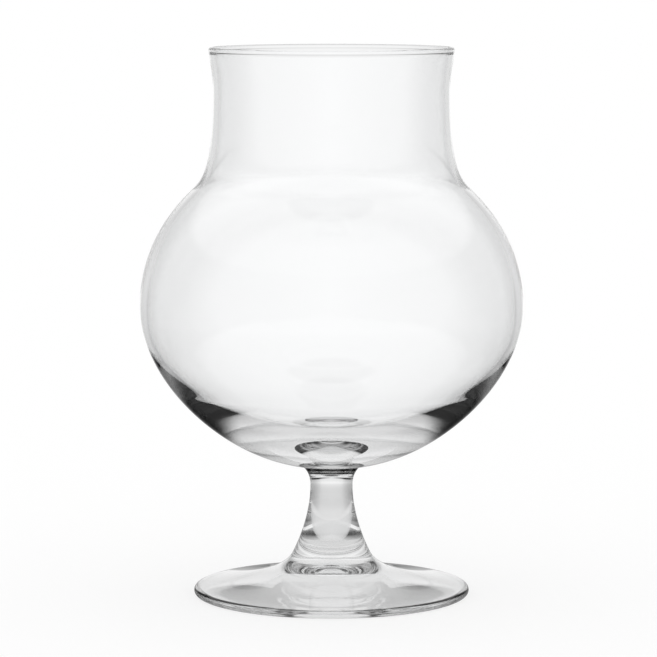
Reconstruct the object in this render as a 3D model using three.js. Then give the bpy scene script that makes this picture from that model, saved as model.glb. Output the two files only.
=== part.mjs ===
// Stemmed beer glass: a blown bowl with a round bulb and a short wide neck, a solid waisted
// stem, and a pressed foot. The three are fused to each other on flat round seats.
// Millimetres, +Z up. The origin is at the centre of the foot, on the surface it stands on.
import * as THREE from 'three';

const TURNS = 68; // facets round the axis

// Heights along the axis
const FOOT_SEAT_Z = 11.6; // the stem stands on the foot here
const STEM_WAIST_Z = 31.0;
const BOWL_SEAT_Z = 36.9; // the bowl sits on the stem here
const CAVITY_FLOOR_Z = 43.35; // lowest point inside the bowl
const HEEL_Z = 60.0; // where the inside turns from the bulb's side to its floor
const EQUATOR_Z = 82.3;
const SHOULDER_Z = 115.6; // where the bulb turns into the neck
const NECK_WAIST_Z = 143.5;
const GLASS_HEIGHT = 155.5;

// Outer radii
const FOOT_RADIUS = 39.2;
const FOOT_SEAT_RADIUS = 11.15;
const STEM_WAIST_RADIUS = 6.0;
const BOWL_SEAT_RADIUS = 8.6;
const EQUATOR_RADIUS = 54.3;
const SHOULDER_RADIUS = 39.3;
const NECK_WAIST_RADIUS = 33.35;
const RIM_RADIUS = 34.66;

// Glass thickness
const EQUATOR_WALL = 2.3;
const SHOULDER_WALL = 1.9;
const NECK_WALL = 1.5;
const FOOT_EDGE_THICKNESS = 2.3;

// Inside of the bowl, at its heel
const HEEL_RADIUS = 42.5;

// Fire-polished lip: a round bead, and where the walls leave it, in degrees about its centre
const RIM_BEAD_RADIUS = 0.8;
const LIP_OUTSIDE = -32;
const LIP_INSIDE = 205;

// Underside of the foot
const REST_RING_OUTER_RADIUS = 37.9;
const REST_RING_INNER_RADIUS = 37.2;
const FOOT_HOLLOW_HEIGHT = 8.2;
const HOLLOW_KNEE_RADIUS = 14.8; // where the deep middle of the hollow meets its flatter side
const HOLLOW_KNEE_Z = 4.3;
const FOOT_EDGE_START = -80; // where the round edge leaves the rest ring, in degrees

// Directions of the outline, in degrees from outwards, turning upwards
const OUT = 0;
const UP = 90;
const IN = 180;
const DOWN = 270;
const BOWL_SEAT_SLOPE = 7;
const SHOULDER_SLOPE = 136.6;
const LIP_SLOPE = 86;
const HEEL_SLOPE = 228.4;
const STEM_FOOT_SLOPE = 117;
const STEM_TOP_SLOPE = 42;
const FOOT_EDGE_SLOPE = 171.5;
const HOLLOW_KNEE_SLOPE = -24;
const HOLLOW_EDGE_SLOPE = -9;

// Smooth stretches of outline: the distance over which each keeps close to its direction at its
// start and at its end, and its number of facets
const LOWER_BULB = [23.2, 20.4, 10];
const UPPER_BULB = [15.4, 10.1, 7];
const NECK = [3.2, 22.7, 7];
const MOUTH = [4.5, 3, 3];
const MOUTH_INSIDE = [3, 4.5, 3];
const NECK_INSIDE = [22.2, 3.6, 7];
const UPPER_BULB_INSIDE = [9.8, 14.8, 7];
const LOWER_BULB_INSIDE = [11.3, 5.7, 6];
const CAVITY_FLOOR = [5.1, 25.1, 8];
const LOWER_STEM = [7.1, 5.9, 8];
const UPPER_STEM = [3.6, 1.6, 6];
const FOOT_TOP = [15, 5.2, 9];
const HOLLOW_MIDDLE = [5.3, 2, 5];
const HOLLOW_SIDE = [6.4, 3.4, 5];
const BEAD_FACETS = 4;
const FOOT_EDGE_FACETS = 3;

// A point of an outline: radius and height.
function at(radius, height) {
  return new THREE.Vector2(radius, height);
}

// The point that lies a distance from another, in one of the directions above.
function step(from, degrees, distance) {
  const angle = THREE.MathUtils.degToRad(degrees);
  return at(from.x + distance * Math.cos(angle), from.y + distance * Math.sin(angle));
}

// A smooth stretch that leaves one point and reaches the next in given directions.
function sweep(from, leaving, to, arriving, [leavePull, arrivePull, facets]) {
  const curve = new THREE.CubicBezierCurve(
    from,
    step(from, leaving, leavePull),
    step(to, arriving, -arrivePull),
    to,
  );
  return curve.getPoints(facets);
}

// A round stretch of outline about a centre, from one angle to another.
function arc(centre, radius, fromDegrees, toDegrees, facets) {
  const points = [];
  for (let i = 0; i <= facets; i += 1) {
    const degrees = fromDegrees + ((toDegrees - fromDegrees) * i) / facets;
    points.push(step(centre, degrees, radius));
  }
  return points;
}

// Joins stretches of outline, leaving out the points where one ends and the next begins twice.
function outline(...stretches) {
  const points = [];
  for (const point of stretches.flat()) {
    const last = points[points.length - 1];
    if (!last || last.distanceTo(point) > 1e-6) {
      points.push(point);
    }
  }
  return points;
}

// Turns an outline, drawn upwards along its outer side, into a named solid of clear glass.
function turned(name, points, colour) {
  const geometry = new THREE.LatheGeometry(points, TURNS);
  geometry.rotateX(Math.PI / 2);
  const material = new THREE.MeshStandardMaterial({
    color: colour,
    roughness: 0.03,
    metalness: 0,
    transparent: true,
    opacity: 0.35,
  });
  const mesh = new THREE.Mesh(geometry, material);
  mesh.name = name;
  return mesh;
}

// The centre of the round bead at the bowl's lip.
function lipCentre() {
  return at(RIM_RADIUS - RIM_BEAD_RADIUS, GLASS_HEIGHT - RIM_BEAD_RADIUS);
}

// The outside of the bowl, upwards from its seat.
function bowlOutside() {
  const seat = at(BOWL_SEAT_RADIUS, BOWL_SEAT_Z);
  const equator = at(EQUATOR_RADIUS, EQUATOR_Z);
  const shoulder = at(SHOULDER_RADIUS, SHOULDER_Z);
  const neckWaist = at(NECK_WAIST_RADIUS, NECK_WAIST_Z);
  const lip = step(lipCentre(), LIP_OUTSIDE, RIM_BEAD_RADIUS);
  return outline(
    sweep(seat, BOWL_SEAT_SLOPE, equator, UP, LOWER_BULB),
    sweep(equator, UP, shoulder, SHOULDER_SLOPE, UPPER_BULB),
    sweep(shoulder, SHOULDER_SLOPE, neckWaist, UP, NECK),
    sweep(neckWaist, UP, lip, LIP_SLOPE, MOUTH),
  );
}

// The inside of the bowl, downwards to its floor. The wall thickens down to the heel, and below
// it the floor is a shallow dish over thick glass.
function bowlInside() {
  const lip = step(lipCentre(), LIP_INSIDE, RIM_BEAD_RADIUS);
  const neckWaist = at(NECK_WAIST_RADIUS - NECK_WALL, NECK_WAIST_Z);
  const shoulder = step(at(SHOULDER_RADIUS, SHOULDER_Z), SHOULDER_SLOPE + 90, SHOULDER_WALL);
  const equator = at(EQUATOR_RADIUS - EQUATOR_WALL, EQUATOR_Z);
  const heel = at(HEEL_RADIUS, HEEL_Z);
  const floor = at(0, CAVITY_FLOOR_Z);
  return outline(
    sweep(lip, LIP_SLOPE + 180, neckWaist, DOWN, MOUTH_INSIDE),
    sweep(neckWaist, DOWN, shoulder, SHOULDER_SLOPE + 180, NECK_INSIDE),
    sweep(shoulder, SHOULDER_SLOPE + 180, equator, DOWN, UPPER_BULB_INSIDE),
    sweep(equator, DOWN, heel, HEEL_SLOPE, LOWER_BULB_INSIDE),
    sweep(heel, HEEL_SLOPE, floor, IN, CAVITY_FLOOR),
  );
}

// The bowl: up the outside, over the round lip, down the inside to the thick bottom.
function makeBowl() {
  const lip = outline(
    arc(lipCentre(), RIM_BEAD_RADIUS, LIP_OUTSIDE, UP, BEAD_FACETS),
    arc(lipCentre(), RIM_BEAD_RADIUS, UP, LIP_INSIDE, BEAD_FACETS),
  );
  return turned('bowl', outline([at(0, BOWL_SEAT_Z)], bowlOutside(), lip, bowlInside()), '#e9eef0');
}

// The stem: solid, narrowest near its top, flared out to its two seats.
function makeStem() {
  const foot = at(FOOT_SEAT_RADIUS, FOOT_SEAT_Z);
  const waist = at(STEM_WAIST_RADIUS, STEM_WAIST_Z);
  const top = at(BOWL_SEAT_RADIUS, BOWL_SEAT_Z);
  const points = outline(
    [at(0, FOOT_SEAT_Z)],
    sweep(foot, STEM_FOOT_SLOPE, waist, UP, LOWER_STEM),
    sweep(waist, UP, top, STEM_TOP_SLOPE, UPPER_STEM),
    [at(0, BOWL_SEAT_Z)],
  );
  return turned('stem', points, '#e4e9eb');
}

// The foot: a thin disc that rises to the stem, hollow beneath, on a narrow flat ring near its edge.
function makeFoot() {
  const edgeRadius = FOOT_EDGE_THICKNESS / 2;
  const edge = at(FOOT_RADIUS - edgeRadius, edgeRadius);
  const edgeTopAngle = FOOT_EDGE_SLOPE - 90;
  const edgeTop = step(edge, edgeTopAngle, edgeRadius);
  const seat = at(FOOT_SEAT_RADIUS, FOOT_SEAT_Z);
  const hollow = at(0, FOOT_HOLLOW_HEIGHT);
  const knee = at(HOLLOW_KNEE_RADIUS, HOLLOW_KNEE_Z);
  const restInner = at(REST_RING_INNER_RADIUS, 0);
  const restOuter = at(REST_RING_OUTER_RADIUS, 0);
  const points = outline(
    sweep(hollow, OUT, knee, HOLLOW_KNEE_SLOPE, HOLLOW_MIDDLE),
    sweep(knee, HOLLOW_KNEE_SLOPE, restInner, HOLLOW_EDGE_SLOPE, HOLLOW_SIDE),
    [restOuter],
    arc(edge, edgeRadius, FOOT_EDGE_START, 0, FOOT_EDGE_FACETS),
    arc(edge, edgeRadius, 0, edgeTopAngle, FOOT_EDGE_FACETS),
    sweep(edgeTop, FOOT_EDGE_SLOPE, seat, STEM_FOOT_SLOPE, FOOT_TOP),
    [at(0, FOOT_SEAT_Z)],
  );
  return turned('foot', points, '#e4e9eb');
}

const glass = new THREE.Group();
glass.add(makeBowl(), makeStem(), makeFoot());

export default glass;
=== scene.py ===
# Dresses the stemmed beer glass: fine turned surfaces of clear glass, a white table, soft light,
# and painted light and shade in what the glass shows.
import math

import bpy
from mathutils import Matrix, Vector


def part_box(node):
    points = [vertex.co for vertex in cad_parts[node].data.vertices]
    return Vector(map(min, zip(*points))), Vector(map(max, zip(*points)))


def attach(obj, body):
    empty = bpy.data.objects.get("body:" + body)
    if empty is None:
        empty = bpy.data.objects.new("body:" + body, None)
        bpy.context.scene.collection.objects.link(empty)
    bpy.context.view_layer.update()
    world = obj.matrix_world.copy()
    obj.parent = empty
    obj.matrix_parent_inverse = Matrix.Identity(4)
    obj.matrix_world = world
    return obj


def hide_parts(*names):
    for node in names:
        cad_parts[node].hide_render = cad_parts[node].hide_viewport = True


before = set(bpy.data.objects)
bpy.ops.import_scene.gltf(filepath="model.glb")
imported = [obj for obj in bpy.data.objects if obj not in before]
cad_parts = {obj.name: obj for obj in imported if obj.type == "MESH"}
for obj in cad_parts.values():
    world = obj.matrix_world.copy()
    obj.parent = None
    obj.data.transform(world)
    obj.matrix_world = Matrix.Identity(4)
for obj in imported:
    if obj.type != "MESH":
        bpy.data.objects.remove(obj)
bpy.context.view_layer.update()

MM = 0.001

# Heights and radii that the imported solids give, in millimetres
FOOT_SEAT_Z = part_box("stem")[0][2] / MM
BOWL_SEAT_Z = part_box("bowl")[0][2] / MM
GLASS_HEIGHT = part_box("bowl")[1][2] / MM
EQUATOR_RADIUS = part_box("bowl")[1][0] / MM
FOOT_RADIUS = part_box("foot")[1][0] / MM
FOOT_SEAT_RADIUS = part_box("stem")[1][0] / MM

# Further heights, in millimetres
STEM_WAIST_Z = 31.0
CAVITY_FLOOR_Z = 43.35
HEEL_Z = 60.0
EQUATOR_Z = 82.3
SHOULDER_Z = 115.6
NECK_WAIST_Z = 143.5

# Further outer radii, in millimetres
STEM_WAIST_RADIUS = 6.0
BOWL_SEAT_RADIUS = 8.6
SHOULDER_RADIUS = 39.3
NECK_WAIST_RADIUS = 33.35
RIM_RADIUS = 34.66

# Glass thickness, and the radius of the heel inside the bowl, in millimetres
EQUATOR_WALL = 2.3
SHOULDER_WALL = 1.9
NECK_WALL = 1.5
FOOT_EDGE_THICKNESS = 2.3
HEEL_RADIUS = 42.5

# Round lip: its bead's radius in millimetres, and where the walls leave it, in degrees
RIM_BEAD_RADIUS = 0.8
LIP_OUTSIDE = -32
LIP_INSIDE = 205

# Underside of the foot: lengths in millimetres, and where the round edge leaves the rest ring
REST_RING_OUTER_RADIUS = 37.9
REST_RING_INNER_RADIUS = 37.2
FOOT_HOLLOW_HEIGHT = 8.2
HOLLOW_KNEE_RADIUS = 14.8
HOLLOW_KNEE_Z = 4.3
FOOT_EDGE_START = -80

# Directions of the outline, in degrees from outwards, turning upwards
OUT = 0
UP = 90
IN = 180
DOWN = 270
BOWL_SEAT_SLOPE = 7
SHOULDER_SLOPE = 136.6
LIP_SLOPE = 86
HEEL_SLOPE = 228.4
STEM_FOOT_SLOPE = 117
STEM_TOP_SLOPE = 42
FOOT_EDGE_SLOPE = 171.5
HOLLOW_KNEE_SLOPE = -24
HOLLOW_EDGE_SLOPE = -9
QUARTER_TURN = 90
HALF_TURN = 180

# Smooth stretches of outline: the distance in millimetres over which each keeps close to its
# direction at its start and at its end, and its number of facets
LOWER_BULB = (23.2, 20.4, 60)
UPPER_BULB = (15.4, 10.1, 40)
NECK = (3.2, 22.7, 32)
MOUTH = (4.5, 3, 12)
MOUTH_INSIDE = (3, 4.5, 12)
NECK_INSIDE = (22.2, 3.6, 32)
UPPER_BULB_INSIDE = (9.8, 14.8, 40)
LOWER_BULB_INSIDE = (11.3, 5.7, 40)
CAVITY_FLOOR = (5.1, 25.1, 40)
LOWER_STEM = (7.1, 5.9, 48)
UPPER_STEM = (3.6, 1.6, 32)
FOOT_TOP = (15, 5.2, 56)
HOLLOW_MIDDLE = (5.3, 2, 24)
HOLLOW_SIDE = (6.4, 3.4, 32)
BEAD_FACETS = 16
FOOT_EDGE_FACETS = 12

# Facets round the axis
BOWL_TURNS = 256
STEM_TURNS = 192
FOOT_TURNS = 256

# How near two points count as one: in an outline, in millimetres, and on a turned surface, in
# metres. How near to a seat's height a face belongs to the seat, in metres.
SAME_POINT = 1e-6
JOINED_POINTS = 1e-7
SEAT_FLATNESS = 1e-7

# Ripples that blowing leaves inside the bowl: depth in millimetres, number in a metre, detail and
# seed, the middle value of their noise, and the outline's points over which they fade in and out
RIPPLE_DEPTH = 0.04
RIPPLE_SCALE = 40.0
RIPPLE_DETAIL = 1.0
RIPPLE_SEED = 3.0
NOISE_MIDDLE = 0.5
RIPPLE_FADE_POINTS = 12

# Clear glass: its colour, how strongly it bends light, and how much it absorbs in a metre
GLASS_COLOUR = (0.995, 0.998, 1.0, 1.0)
GLASS_IOR = 1.5
GLASS_ABSORPTION = 1.0
BLACK = (0, 0, 0, 1)
WHITE = (1, 1, 1, 1)

# White table: its size in metres, and the share of it that glows and takes no shadow
TABLE_SIZE = 40.0
TABLE_GLOW = 0.75

# Kinds of light path, by which the studio's painted light and shade are chosen. Light passes the
# surface of solid glass twice, and the bowl's more often. Reflections are few or many up to these
# numbers, and endless beyond.
SOLID_PASSES = 2
FEW_REFLECTIONS = 6
MANY_REFLECTIONS = 11

# How many bounces light is followed for, of each kind
BOUNCES = 32

# Sideways part that every direction keeps, so that one straight upwards still has a turn
SMALLEST_SIDE = 1e-9

# Brightness of the studio, as stops of (value, brightness). A value is a turn in degrees from
# straight behind the glass, a height of a unit direction, or a distance in metres from the
# middle of the table. The world around the table counts as far away.
FAR = 1.0

# What follows is seen only in reflections and refractions of the glass, and much of it changes with
# the kind of light path: painted light and shade
# Refracted through the thin bowl: the table by distance, darker near the glass as a painted shadow,
# and the sky by height
TABLE_PAINTED_SHADOW_NEAR_GLASS = ((0, 0.66), (0.042, 0.7), (0.075, 1.0), (1.0, 1.0))
SKY_THROUGH_BOWL = ((0, 1.0), (0.38, 1.0), (0.43, 0.3), (0.47, 0.0), (1.0, 0.0))

# Refracted through the solid stem or foot: the table by distance, grayer near the glass as a painted
# shadow, the sky by its height times a steepness, which goes by turn, and the darker sides by turn.
# Close by they aren't darker. The steeper sky and the darker sides, which the bowl doesn't show, are
# painted shade on the solid stem and foot.
STEM_TABLE_PAINTED_SHADOW = (
    (0, 0.78), (0.045, 0.8), (0.08, 0.72), (0.13, 0.73), (0.24, 0.82), (0.4, 0.9), (0.8, 1.0),
    (1.0, 1.0),
)
SKY_THROUGH_STEM = (
    (0, 0.95), (0.1, 0.89), (0.22, 0.86), (0.3, 0.71), (0.37, 0.42), (0.43, 0.13), (0.5, 0.02),
    (1.0, 0.0),
)
SKY_STEEPNESS = ((0, 1.0), (20, 1.67), (40, 2.33), (60, 1.6), (80, 1.0), (180, 1.0))
PAINTED_SIDE_SHADE_THROUGH_STEM = (
    (0, 1.0), (15, 0.97), (25, 0.82), (35, 0.68), (45, 0.62), (60, 0.65), (80, 0.95), (180, 1.0),
)
CLOSE_TO_STEM = ((0, 1.0), (0.045, 1.0), (0.08, 0.0), (1.0, 0.0))

# Mirrored by the outside of the glass: by turn between dark screens, and the table by distance,
# darker near the glass as a painted shadow
MIRRORED_LIGHT = (
    (0, 1.0), (11, 1.0), (20, 0.52), (28, 0.2), (37, 0.07),
    (45, 0.14), (58, 0.33), (76, 0.63), (90, 0.88), (120, 1.0), (180, 1.0),
)
MIRRORED_TABLE_PAINTED_SHADOW = ((0, 0.3), (0.15, 0.35), (0.3, 0.65), (0.5, 1.0), (1.0, 1.0))

# Reflected inside the glass once, a few times, many times and endlessly: all by turn. This is
# painted shade: the studio is made darker the more often light was reflected inside the glass.
INNER_PAINTED_SHADE = (
    (0, 1.0), (25, 1.0), (35, 0.8), (45, 0.6), (60, 0.25), (72, 0.05), (85, 0.1),
    (100, 0.4), (120, 0.5), (180, 0.8),
)
BENT_PAINTED_SHADE = (
    (0, 0.95), (20, 0.93), (30, 0.55), (40, 0.3), (55, 0.2), (75, 0.1), (100, 0.15), (120, 0.4),
    (150, 0.5), (180, 0.45),
)
THROWN_PAINTED_SHADE = (
    (0, 1.0), (45, 1.0), (52, 0.85), (58, 0.5), (64, 0.2), (70, 0.04), (78, 0.0), (92, 0.02),
    (103, 0.12), (118, 0.33), (140, 0.5), (180, 0.5),
)
LOST_PAINTED_SHADE = (
    (0, 0.0), (100, 0.0), (108, 0.05), (118, 0.2), (130, 0.33), (150, 0.28), (163, 0.0), (180, 0.0),
)

# Reflected in any way but endlessly: the sky by height, and its least brightness by turn
SKY_LIGHT = ((0, 1.0), (0.05, 0.95), (0.25, 0.8), (0.65, 0.8), (1.0, 0.9))
SKY_SIDES = ((0, 0.0), (60, 0.0), (90, 1.0), (180, 1.0))

# The light above the dark screens by height, and how much of it is left by turn after many
# reflections, as painted shade
ABOVE_SCREENS = ((0, 0.0), (0.38, 0.0), (0.5, 0.9), (1.0, 1.0))
THROWN_ABOVE_PAINTED_SHADE = ((0, 1.0), (50, 1.0), (70, 0.1), (110, 0.1), (140, 0.2), (180, 0.2))

# Painted shade straight overhead, by height, put only on light reflected inside the glass
PAINTED_SHADE_OVERHEAD = ((0, 1.0), (0.93, 1.0), (0.95, 0.5), (0.965, 0.03), (1.0, 0.0))

# Camera: where it stands, and how it is tipped and zoomed to match the photograph
CAMERA_DISTANCE = 957.4 * MM
CAMERA_HEIGHT = 183.5 * MM
CAMERA_SIDE = -0.85 * MM
CAMERA_PITCH = math.radians(6.408)
PHOTO_WIDTH = 657
FOCAL_PIXELS = 3397.4
SENSOR_MM = 36.0


def at(radius, height):
    """A point of an outline, in millimetres."""
    return Vector((radius, height))


def step(start, degrees, distance):
    """The point that lies a distance from another in a direction of the outline."""
    angle = math.radians(degrees)
    return at(start.x + distance * math.cos(angle), start.y + distance * math.sin(angle))


def sweep(start, leaving, end, arriving, stretch):
    """A smooth stretch of outline between two points with given directions."""
    leave_pull, arrive_pull, facets = stretch
    near = step(start, leaving, leave_pull)
    far = step(end, arriving, -arrive_pull)
    points = []
    for i in range(facets + 1):
        t = i / facets
        s = 1 - t
        points.append(start * s ** 3 + near * (3 * s * s * t) + far * (3 * s * t * t) + end * t ** 3)
    return points


def arc(centre, radius, start_degrees, end_degrees, facets):
    """A round stretch of outline about a centre."""
    turn = (end_degrees - start_degrees) / facets
    return [step(centre, start_degrees + turn * i, radius) for i in range(facets + 1)]


def outline(*stretches):
    """Joins stretches of outline, with each shared point once."""
    points = []
    for stretch in stretches:
        for point in stretch:
            if not points or (points[-1] - point).length > SAME_POINT:
                points.append(point)
    return points


def lip_centre():
    """The centre of the round bead at the bowl's lip."""
    return at(RIM_RADIUS - RIM_BEAD_RADIUS, GLASS_HEIGHT - RIM_BEAD_RADIUS)


def bowl_outside():
    """The outside of the bowl from its seat up to the lip, and over it."""
    seat = at(BOWL_SEAT_RADIUS, BOWL_SEAT_Z)
    equator = at(EQUATOR_RADIUS, EQUATOR_Z)
    shoulder = at(SHOULDER_RADIUS, SHOULDER_Z)
    neck_waist = at(NECK_WAIST_RADIUS, NECK_WAIST_Z)
    lip = step(lip_centre(), LIP_OUTSIDE, RIM_BEAD_RADIUS)
    return outline(
        [at(0, BOWL_SEAT_Z)],
        sweep(seat, BOWL_SEAT_SLOPE, equator, UP, LOWER_BULB),
        sweep(equator, UP, shoulder, SHOULDER_SLOPE, UPPER_BULB),
        sweep(shoulder, SHOULDER_SLOPE, neck_waist, UP, NECK),
        sweep(neck_waist, UP, lip, LIP_SLOPE, MOUTH),
        arc(lip_centre(), RIM_BEAD_RADIUS, LIP_OUTSIDE, UP, BEAD_FACETS),
        arc(lip_centre(), RIM_BEAD_RADIUS, UP, LIP_INSIDE, BEAD_FACETS),
    )


def bowl_inside():
    """The inside of the bowl from the lip down to the thick floor."""
    lip_back = LIP_SLOPE + HALF_TURN
    shoulder_back = SHOULDER_SLOPE + HALF_TURN
    lip = step(lip_centre(), LIP_INSIDE, RIM_BEAD_RADIUS)
    neck_waist = at(NECK_WAIST_RADIUS - NECK_WALL, NECK_WAIST_Z)
    outer_shoulder = at(SHOULDER_RADIUS, SHOULDER_Z)
    shoulder = step(outer_shoulder, SHOULDER_SLOPE + QUARTER_TURN, SHOULDER_WALL)
    equator = at(EQUATOR_RADIUS - EQUATOR_WALL, EQUATOR_Z)
    heel = at(HEEL_RADIUS, HEEL_Z)
    floor = at(0, CAVITY_FLOOR_Z)
    return outline(
        sweep(lip, lip_back, neck_waist, DOWN, MOUTH_INSIDE),
        sweep(neck_waist, DOWN, shoulder, shoulder_back, NECK_INSIDE),
        sweep(shoulder, shoulder_back, equator, DOWN, UPPER_BULB_INSIDE),
        sweep(equator, DOWN, heel, HEEL_SLOPE, LOWER_BULB_INSIDE),
        sweep(heel, HEEL_SLOPE, floor, IN, CAVITY_FLOOR),
    )


def stem_outline():
    """The solid stem from its seat on the foot, past its waist, to its seat under the bowl."""
    foot = at(FOOT_SEAT_RADIUS, FOOT_SEAT_Z)
    waist = at(STEM_WAIST_RADIUS, STEM_WAIST_Z)
    top = at(BOWL_SEAT_RADIUS, BOWL_SEAT_Z)
    return outline(
        [at(0, FOOT_SEAT_Z)],
        sweep(foot, STEM_FOOT_SLOPE, waist, UP, LOWER_STEM),
        sweep(waist, UP, top, STEM_TOP_SLOPE, UPPER_STEM),
        [at(0, BOWL_SEAT_Z)],
    )


def foot_outline():
    """The foot from the hollow beneath it, over the rest ring and the edge, to the stem's seat."""
    edge_radius = FOOT_EDGE_THICKNESS / 2
    edge = at(FOOT_RADIUS - edge_radius, edge_radius)
    edge_top_angle = FOOT_EDGE_SLOPE - QUARTER_TURN
    edge_top = step(edge, edge_top_angle, edge_radius)
    seat = at(FOOT_SEAT_RADIUS, FOOT_SEAT_Z)
    hollow = at(0, FOOT_HOLLOW_HEIGHT)
    knee = at(HOLLOW_KNEE_RADIUS, HOLLOW_KNEE_Z)
    rest_inner = at(REST_RING_INNER_RADIUS, 0)
    rest_outer = at(REST_RING_OUTER_RADIUS, 0)
    return outline(
        sweep(hollow, OUT, knee, HOLLOW_KNEE_SLOPE, HOLLOW_MIDDLE),
        sweep(knee, HOLLOW_KNEE_SLOPE, rest_inner, HOLLOW_EDGE_SLOPE, HOLLOW_SIDE),
        [rest_outer],
        arc(edge, edge_radius, FOOT_EDGE_START, 0, FOOT_EDGE_FACETS),
        arc(edge, edge_radius, 0, edge_top_angle, FOOT_EDGE_FACETS),
        sweep(edge_top, FOOT_EDGE_SLOPE, seat, STEM_FOOT_SLOPE, FOOT_TOP),
        [at(0, FOOT_SEAT_Z)],
    )


def connect(tree, value, socket):
    """Links a socket's output to an input, or sets the input to a plain value."""
    if isinstance(value, bpy.types.NodeSocket):
        tree.links.new(value, socket)
    else:
        socket.default_value = value


def new_node(tree, kind, **inputs):
    """Adds a node, and links or sets the inputs that are named."""
    node = tree.nodes.new(kind)
    for name, value in inputs.items():
        connect(tree, value, node.inputs[name.replace("_", " ")])
    return node


def maths(tree, operation, *values):
    """The result of an operation on one or more values."""
    node = tree.nodes.new("ShaderNodeMath")
    node.operation = operation
    for socket, value in zip(node.inputs, values):
        connect(tree, value, socket)
    return node.outputs[0]


def product(tree, first, *others):
    """Two or more values multiplied."""
    result = first
    for other in others:
        result = maths(tree, "MULTIPLY", result, other)
    return result


def brighter(tree, first, second):
    """The larger of two values."""
    return maths(tree, "MAXIMUM", first, second)


def more_than(tree, value, limit):
    """1 where a value is above a limit, and 0 elsewhere."""
    return maths(tree, "GREATER_THAN", value, limit)


def blend(tree, factor, first, second):
    """The first value where the factor is 0, and the second where it is 1."""
    mix = tree.nodes.new("ShaderNodeMix")
    connect(tree, factor, mix.inputs["Factor"])
    connect(tree, first, mix.inputs["A"])
    connect(tree, second, mix.inputs["B"])
    return mix.outputs["Result"]


def outline_value(tree, chain, value, row):
    """The parts of a vector that the outline has at its point of a given row."""
    sample = tree.nodes.new("GeometryNodeSampleIndex")
    sample.data_type = "FLOAT_VECTOR"
    connect(tree, chain, sample.inputs["Geometry"])
    connect(tree, value, sample.inputs["Value"])
    connect(tree, row, sample.inputs["Index"])
    return new_node(tree, "ShaderNodeSeparateXYZ", Vector=sample.outputs[0]).outputs


def turned_place(tree, radius, height, angle):
    """The place at a radius and a height, turned by an angle about the Z axis."""
    return new_node(
        tree, "ShaderNodeCombineXYZ",
        X=product(tree, radius, maths(tree, "COSINE", angle)),
        Y=product(tree, radius, maths(tree, "SINE", angle)),
        Z=height,
    ).outputs[0]


def ripple_at(tree, given, place):
    """How far the ripples push the wall at a place."""
    noise = tree.nodes.new("ShaderNodeTexNoise")
    noise.noise_dimensions = "4D"
    connect(tree, place, noise.inputs["Vector"])
    connect(tree, given["Seed"], noise.inputs["W"])
    connect(tree, given["Ripple Scale"], noise.inputs["Scale"])
    connect(tree, RIPPLE_DETAIL, noise.inputs["Detail"])
    wave = maths(tree, "SUBTRACT", noise.outputs[0], NOISE_MIDDLE)
    return product(tree, wave, given["Ripple Depth"])


def at_height(tree, place, level):
    """Whether a place lies at the height of a seat."""
    height = new_node(tree, "ShaderNodeSeparateXYZ", Vector=place).outputs["Z"]
    node = tree.nodes.new("FunctionNodeCompare")
    node.data_type = "FLOAT"
    node.operation = "EQUAL"
    connect(tree, height, node.inputs["A"])
    connect(tree, level, node.inputs["B"])
    connect(tree, SEAT_FLATNESS, node.inputs["Epsilon"])
    return node.outputs[0]


def either(tree, first, second):
    """Whether one of two conditions holds."""
    node = tree.nodes.new("FunctionNodeBooleanMath")
    node.operation = "OR"
    connect(tree, first, node.inputs[0])
    connect(tree, second, node.inputs[1])
    return node.outputs[0]


def finished(tree, given, surface, place):
    """Smooth glass, with the seam's material and sharp edges on the flat seats."""
    low = at_height(tree, place, given["Low Seat"])
    high = at_height(tree, place, given["High Seat"])
    seat = either(tree, low, high)
    smooth = new_node(tree, "GeometryNodeSetShadeSmooth", Geometry=surface, Shade_Smooth=True)
    sharp = new_node(
        tree, "GeometryNodeSetShadeSmooth",
        Geometry=smooth.outputs[0], Selection=seat, Shade_Smooth=False,
    )
    sharp.domain = "EDGE"
    solid = new_node(tree, "GeometryNodeRealizeInstances", Geometry=sharp.outputs[0])
    glassy = new_node(
        tree, "GeometryNodeSetMaterial", Geometry=solid.outputs[0], Material=given["Glass"],
    )
    seamed = new_node(
        tree, "GeometryNodeSetMaterial",
        Geometry=glassy.outputs[0], Selection=seat, Material=given["Seam"],
    )
    return seamed.outputs[0]


TURNING_INPUTS = (
    ("Outline", "NodeSocketGeometry"),
    ("Turns", "NodeSocketInt"),
    ("Low Seat", "NodeSocketFloat"),
    ("High Seat", "NodeSocketFloat"),
    ("Ripple Depth", "NodeSocketFloat"),
    ("Ripple Scale", "NodeSocketFloat"),
    ("Seed", "NodeSocketFloat"),
    ("Glass", "NodeSocketMaterial"),
    ("Seam", "NodeSocketMaterial"),
)


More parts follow.
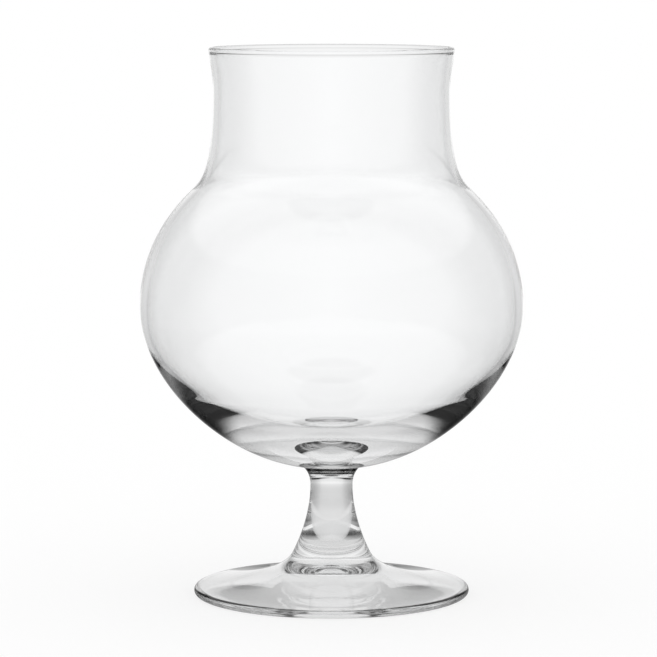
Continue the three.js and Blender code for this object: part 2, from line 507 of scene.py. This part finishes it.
def turning_tree():
    """Geometry nodes that turn an outline, drawn as a chain of points, about the Z axis.

    A grid with a row for each point of the outline and a column for each turn is bent round
    the axis and closed. A point of the outline that carries a push is rippled a little along
    it, as blown glass is.
    """
    tree = bpy.data.node_groups.new("turned_glass", "GeometryNodeTree")
    for name, kind in TURNING_INPUTS:
        tree.interface.new_socket(name, in_out="INPUT", socket_type=kind)
    tree.interface.new_socket("Geometry", in_out="OUTPUT", socket_type="NodeSocketGeometry")
    given = tree.nodes.new("NodeGroupInput").outputs
    result = tree.nodes.new("NodeGroupOutput")

    size = new_node(tree, "GeometryNodeAttributeDomainSize", Geometry=given["Outline"])
    rows = size.outputs["Point Count"]
    columns = maths(tree, "ADD", given["Turns"], 1)
    grid = new_node(tree, "GeometryNodeMeshGrid", Vertices_X=columns, Vertices_Y=rows)
    index = tree.nodes.new("GeometryNodeInputIndex").outputs[0]
    row = maths(tree, "FLOORED_MODULO", index, rows)
    column = maths(tree, "DIVIDE", maths(tree, "SUBTRACT", index, row), rows)
    angle = product(tree, maths(tree, "DIVIDE", column, given["Turns"]), math.tau)

    place = tree.nodes.new("GeometryNodeInputPosition").outputs[0]
    push = new_node(tree, "GeometryNodeInputNamedAttribute", Name="push")
    push.data_type = "FLOAT_VECTOR"
    plain = outline_value(tree, given["Outline"], place, row)
    pushed = outline_value(tree, given["Outline"], push.outputs[0], row)
    ripple = ripple_at(tree, given, turned_place(tree, plain["X"], plain["Z"], angle))
    radius = maths(tree, "MULTIPLY_ADD", pushed["X"], ripple, plain["X"])
    height = maths(tree, "MULTIPLY_ADD", pushed["Z"], ripple, plain["Z"])
    wall = new_node(
        tree, "GeometryNodeSetPosition",
        Geometry=grid.outputs["Mesh"], Position=turned_place(tree, radius, height, angle),
    )
    closed = new_node(
        tree, "GeometryNodeMergeByDistance", Geometry=wall.outputs[0], Distance=JOINED_POINTS,
    )
    connect(tree, finished(tree, given, closed.outputs[0], place), result.inputs["Geometry"])
    return tree


def outline_object(name, points, pushes):
    """A chain of edges through an outline's points, in metres, in the plane of X and Z."""
    mesh = bpy.data.meshes.new(name)
    mesh.from_pydata(
        [(point.x * MM, 0, point.y * MM) for point in points],
        [(i, i + 1) for i in range(len(points) - 1)],
        [],
    )
    attribute = mesh.attributes.new("push", "FLOAT_VECTOR", "POINT")
    for entry, push in zip(attribute.data, pushes):
        entry.vector = (push.x, 0, push.y)
    piece = bpy.data.objects.new(name, mesh)
    bpy.context.scene.collection.objects.link(piece)
    return piece


def no_pushes(points):
    """Leaves every point of an outline where it is."""
    return [Vector((0, 0)) for _ in points]


def wall_pushes(points, first, last):
    """Directions square to an outline between two of its points, which fade out at both."""
    pushes = no_pushes(points)
    for i in range(first, last):
        along = points[i + 1] - points[i - 1]
        strength = min(1, (i - first) / RIPPLE_FADE_POINTS, (last - i) / RIPPLE_FADE_POINTS)
        pushes[i] = Vector((along.y, -along.x)).normalized() * strength
    return pushes


def turned(name, points, pushes, turns, tree, glass, seam):
    """One closed turned piece as a plain mesh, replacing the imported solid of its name."""
    piece = outline_object(name + "_glass", points, pushes)
    modifier = piece.modifiers.new("turning", "NODES")
    modifier.node_group = tree
    values = {
        "Turns": turns,
        "Low Seat": FOOT_SEAT_Z * MM,
        "High Seat": BOWL_SEAT_Z * MM,
        "Ripple Depth": RIPPLE_DEPTH * MM,
        "Ripple Scale": RIPPLE_SCALE,
        "Seed": RIPPLE_SEED,
        "Glass": glass,
        "Seam": seam,
    }
    for item in tree.interface.items_tree:
        if item.in_out == "INPUT" and item.name in values:
            modifier[item.identifier] = values[item.name]
    graph = bpy.context.evaluated_depsgraph_get()
    mesh = bpy.data.meshes.new_from_object(piece.evaluated_get(graph))
    piece.modifiers.clear()
    piece.data = mesh
    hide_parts(name)
    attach(piece, "root")


def shader_material(name):
    """A new material with nothing in it but its output."""
    material = bpy.data.materials.new(name)
    material.use_nodes = True
    material.node_tree.nodes.clear()
    output = material.node_tree.nodes.new("ShaderNodeOutputMaterial")
    return material, material.node_tree, output


def clear_glass():
    """Colourless soda-lime glass, fire-polished."""
    material, tree, output = shader_material("clear_soda_glass")
    surface = tree.nodes.new("ShaderNodeBsdfPrincipled")
    surface.inputs["Base Color"].default_value = GLASS_COLOUR
    surface.inputs["Roughness"].default_value = 0.0
    surface.inputs["IOR"].default_value = GLASS_IOR
    surface.inputs["Transmission Weight"].default_value = 1.0
    connect(tree, surface.outputs[0], output.inputs["Surface"])
    inside = tree.nodes.new("ShaderNodeVolumeAbsorption")
    inside.inputs["Color"].default_value = BLACK
    inside.inputs["Density"].default_value = GLASS_ABSORPTION
    connect(tree, inside.outputs[0], output.inputs["Volume"])
    return material


def fused_seam():
    """The seat inside the glass where two pieces are fused: light passes as if it weren't there."""
    material, tree, output = shader_material("fused_seam")
    surface = tree.nodes.new("ShaderNodeBsdfTransparent")
    connect(tree, surface.outputs[0], output.inputs["Surface"])
    return material


def make_glass():
    """The bowl, rippled inside, and the plain stem and foot."""
    tree = turning_tree()
    glass = clear_glass()
    seam = fused_seam()
    outside = bowl_outside()
    bowl = outline(outside, bowl_inside())
    blown = wall_pushes(bowl, len(outside), len(bowl) - 1)
    turned("bowl", bowl, blown, BOWL_TURNS, tree, glass, seam)
    stem = stem_outline()
    turned("stem", stem, no_pushes(stem), STEM_TURNS, tree, glass, seam)
    foot = foot_outline()
    turned("foot", foot, no_pushes(foot), FOOT_TURNS, tree, glass, seam)


def ramp(tree, value, stops):
    """Brightness read from stops of (value, brightness), smoothly joined."""
    node = tree.nodes.new("ShaderNodeFloatCurve")
    connect(tree, value, node.inputs["Value"])
    curve = node.mapping.curves[0]
    # New points start in the curve's middle, and the next loop places them all
    while len(curve.points) < len(stops):
        curve.points.new(0.5, 0.5)
    for point, (place, brightness) in zip(curve.points, stops):
        point.location = (place, brightness)
        point.handle_type = "AUTO_CLAMPED"
    node.mapping.use_clip = False
    node.mapping.update()
    return node.outputs[0]


def turn_ramp(tree, turn, stops):
    """Brightness read from stops by a turn, which runs from 0 behind the glass to 1 in front."""
    return ramp(tree, turn, [(degrees / HALF_TURN, level) for degrees, level in stops])


def turn_and_rise(tree, direction):
    """A direction's turn to either side, from 0 behind the glass to 1 in front, and its height."""
    unit = new_node(tree, "ShaderNodeVectorMath", Vector=direction)
    unit.operation = "NORMALIZE"
    parts = new_node(tree, "ShaderNodeSeparateXYZ", Vector=unit.outputs[0]).outputs
    side = maths(tree, "ADD", maths(tree, "ABSOLUTE", parts["X"]), SMALLEST_SIDE)
    turn = maths(tree, "DIVIDE", maths(tree, "ARCTAN2", side, parts["Y"]), math.pi)
    rise = maths(tree, "MAXIMUM", parts["Z"], 0)
    return turn, rise


def refracted_light_and_painted_shade(tree, path, turn, rise, distance):
    """What the glass shows by refraction alone.

    The thin bowl shows white nearly all round, but for a painted shadow on the table near the glass.
    The solid stem and foot show a table that is grayer near the glass, as a painted shadow, and a
    sky that darkens upwards and, as painted shade that the bowl doesn't show, to the sides.
    """
    # Painted shadow: in what the glass shows, the table is darker near the glass
    table = ramp(tree, distance, TABLE_PAINTED_SHADOW_NEAR_GLASS)
    by_bowl = product(tree, table, ramp(tree, rise, SKY_THROUGH_BOWL))
    steep_rise = product(tree, rise, turn_ramp(tree, turn, SKY_STEEPNESS))
    sky = ramp(tree, maths(tree, "MINIMUM", steep_rise, 1), SKY_THROUGH_STEM)
    close = ramp(tree, distance, CLOSE_TO_STEM)
    # Painted shade: darker sides that only the solid stem and foot show
    sides = brighter(tree, turn_ramp(tree, turn, PAINTED_SIDE_SHADE_THROUGH_STEM), close)
    by_stem = product(tree, sky, ramp(tree, distance, STEM_TABLE_PAINTED_SHADOW), sides)
    hollow = more_than(tree, path["Transmission Depth"], SOLID_PASSES)
    return blend(tree, hollow, by_stem, by_bowl)


def reflected_light_and_painted_shade(tree, path, turn, rise, distance):
    """What the glass shows by reflection.

    Its outside mirrors dark screens at both sides behind it, which draw its edges, and a table that
    is darker near the glass, as a painted shadow. Light reflected inside the glass, once, a few
    times, many times or endlessly, meets a studio that is made darker in ever more directions the
    more often it was reflected, and darker overhead. This is painted shade that draws dark edges and
    arcs in the glass.
    """
    above = ramp(tree, rise, ABOVE_SCREENS)
    mirrored = brighter(tree, turn_ramp(tree, turn, MIRRORED_LIGHT), above)
    # Painted shadow: the mirrored table is darker near the glass
    mirrored = product(tree, mirrored, ramp(tree, distance, MIRRORED_TABLE_PAINTED_SHADOW))
    inner = brighter(tree, turn_ramp(tree, turn, INNER_PAINTED_SHADE), above)
    bent = brighter(tree, turn_ramp(tree, turn, BENT_PAINTED_SHADE), above)
    thrown_above = product(tree, above, turn_ramp(tree, turn, THROWN_ABOVE_PAINTED_SHADE))
    thrown = brighter(tree, turn_ramp(tree, turn, THROWN_PAINTED_SHADE), thrown_above)
    lost = turn_ramp(tree, turn, LOST_PAINTED_SHADE)

    # Painted shade: the studio is made darker the more often light was reflected inside the glass
    entered = more_than(tree, path["Transmission Depth"], 0)
    repeated = more_than(tree, path["Glossy Depth"], 1)
    many = more_than(tree, path["Glossy Depth"], FEW_REFLECTIONS)
    endless = more_than(tree, path["Glossy Depth"], MANY_REFLECTIONS)
    # Painted shade overhead, only for light reflected inside the glass
    overhead = ramp(tree, rise, PAINTED_SHADE_OVERHEAD)
    once = blend(tree, entered, mirrored, product(tree, inner, overhead))
    often = product(tree, blend(tree, many, bent, thrown), overhead)
    sky = brighter(tree, ramp(tree, rise, SKY_LIGHT), turn_ramp(tree, turn, SKY_SIDES))
    # Painted shadow: in all reflections, the table is darker near the glass
    table = ramp(tree, distance, TABLE_PAINTED_SHADOW_NEAR_GLASS)
    light = product(tree, sky, table, blend(tree, repeated, once, often))
    return blend(tree, endless, light, lost)


def seen_in_glass(tree, path):
    """1 for what glass reflects or refracts, and 0 for all else."""
    return brighter(tree, path["Is Glossy Ray"], path["Is Transmission Ray"])


def studio_tree():
    """Shader nodes for the brightness of the studio: white, except in what the glass shows, which
    carries painted light and shade by the kind of light path.
    """
    tree = bpy.data.node_groups.new("studio_with_painted_shade", "ShaderNodeTree")
    tree.interface.new_socket("Direction", in_out="INPUT", socket_type="NodeSocketVector")
    tree.interface.new_socket("Distance", in_out="INPUT", socket_type="NodeSocketFloat")
    tree.interface.new_socket("Brightness", in_out="OUTPUT", socket_type="NodeSocketFloat")
    given = tree.nodes.new("NodeGroupInput").outputs
    result = tree.nodes.new("NodeGroupOutput")
    turn, rise = turn_and_rise(tree, given["Direction"])
    path = tree.nodes.new("ShaderNodeLightPath").outputs
    refracted = refracted_light_and_painted_shade(tree, path, turn, rise, given["Distance"])
    reflected = reflected_light_and_painted_shade(tree, path, turn, rise, given["Distance"])
    light = blend(tree, more_than(tree, path["Glossy Depth"], 0), refracted, reflected)
    brightness = blend(tree, seen_in_glass(tree, path), 1.0, light)
    connect(tree, brightness, result.inputs["Brightness"])
    return tree


def studio_light(tree, studio, direction, distance):
    """The studio's brightness in a direction, at a distance from the middle of the table."""
    node = tree.nodes.new("ShaderNodeGroup")
    node.node_tree = studio
    connect(tree, direction, node.inputs["Direction"])
    connect(tree, distance, node.inputs["Distance"])
    return node.outputs[0]


def make_table(studio):
    """A white table that shows a faint shadow to the camera. In the glass it glows with the studio's
    brightness, with a painted shadow near the glass.
    """
    material, tree, output = shader_material("white_table")
    place = tree.nodes.new("ShaderNodeTexCoord").outputs["Object"]
    length = new_node(tree, "ShaderNodeVectorMath", Vector=place)
    length.operation = "LENGTH"
    # In the glass the table glows with the studio's brightness, which paints a shadow near the glass
    brightness = studio_light(tree, studio, place, length.outputs["Value"])
    paint = new_node(tree, "ShaderNodeBsdfDiffuse", Color=WHITE)
    glow = new_node(tree, "ShaderNodeEmission", Strength=brightness)
    path = tree.nodes.new("ShaderNodeLightPath").outputs
    share = brighter(tree, seen_in_glass(tree, path), TABLE_GLOW)
    mix = tree.nodes.new("ShaderNodeMixShader")
    for socket, value in zip(mix.inputs, (share, paint.outputs[0], glow.outputs[0])):
        connect(tree, value, socket)
    connect(tree, mix.outputs[0], output.inputs["Surface"])
    bpy.ops.mesh.primitive_plane_add(size=TABLE_SIZE, location=(0, 0, 0))
    table = bpy.context.object
    table.name = "table_top"
    table.data.materials.append(material)


def make_world(studio):
    """The studio all round, as the world, with the painted light and shade that the glass shows."""
    world = bpy.data.worlds.new("soft_studio")
    bpy.context.scene.world = world
    world.use_nodes = True
    tree = world.node_tree
    direction = tree.nodes.new("ShaderNodeTexCoord").outputs["Generated"]
    background = tree.nodes["Background"]
    connect(tree, WHITE, background.inputs["Color"])
    connect(tree, studio_light(tree, studio, direction, FAR), background.inputs["Strength"])


def make_camera():
    """The camera at the place and with the zoom of the photograph."""
    lens = bpy.data.cameras.new("photo_camera")
    lens.sensor_width = SENSOR_MM
    lens.lens = FOCAL_PIXELS / PHOTO_WIDTH * SENSOR_MM
    camera = bpy.data.objects.new("photo_camera", lens)
    camera.location = (CAMERA_SIDE, -CAMERA_DISTANCE, CAMERA_HEIGHT)
    camera.rotation_euler = (math.pi / 2 - CAMERA_PITCH, 0, 0)
    bpy.context.scene.collection.objects.link(camera)
    bpy.context.scene.camera = camera


def set_bounces():
    """Lets light bounce long enough to leave the thick glass."""
    cycles = bpy.context.scene.cycles
    cycles.max_bounces = BOUNCES
    cycles.glossy_bounces = BOUNCES
    cycles.transmission_bounces = BOUNCES
    cycles.transparent_max_bounces = BOUNCES


studio = studio_tree()
make_camera()
make_world(studio)
make_table(studio)
make_glass()
bpy.context.scene.view_settings.view_transform = "Standard"
set_bounces()
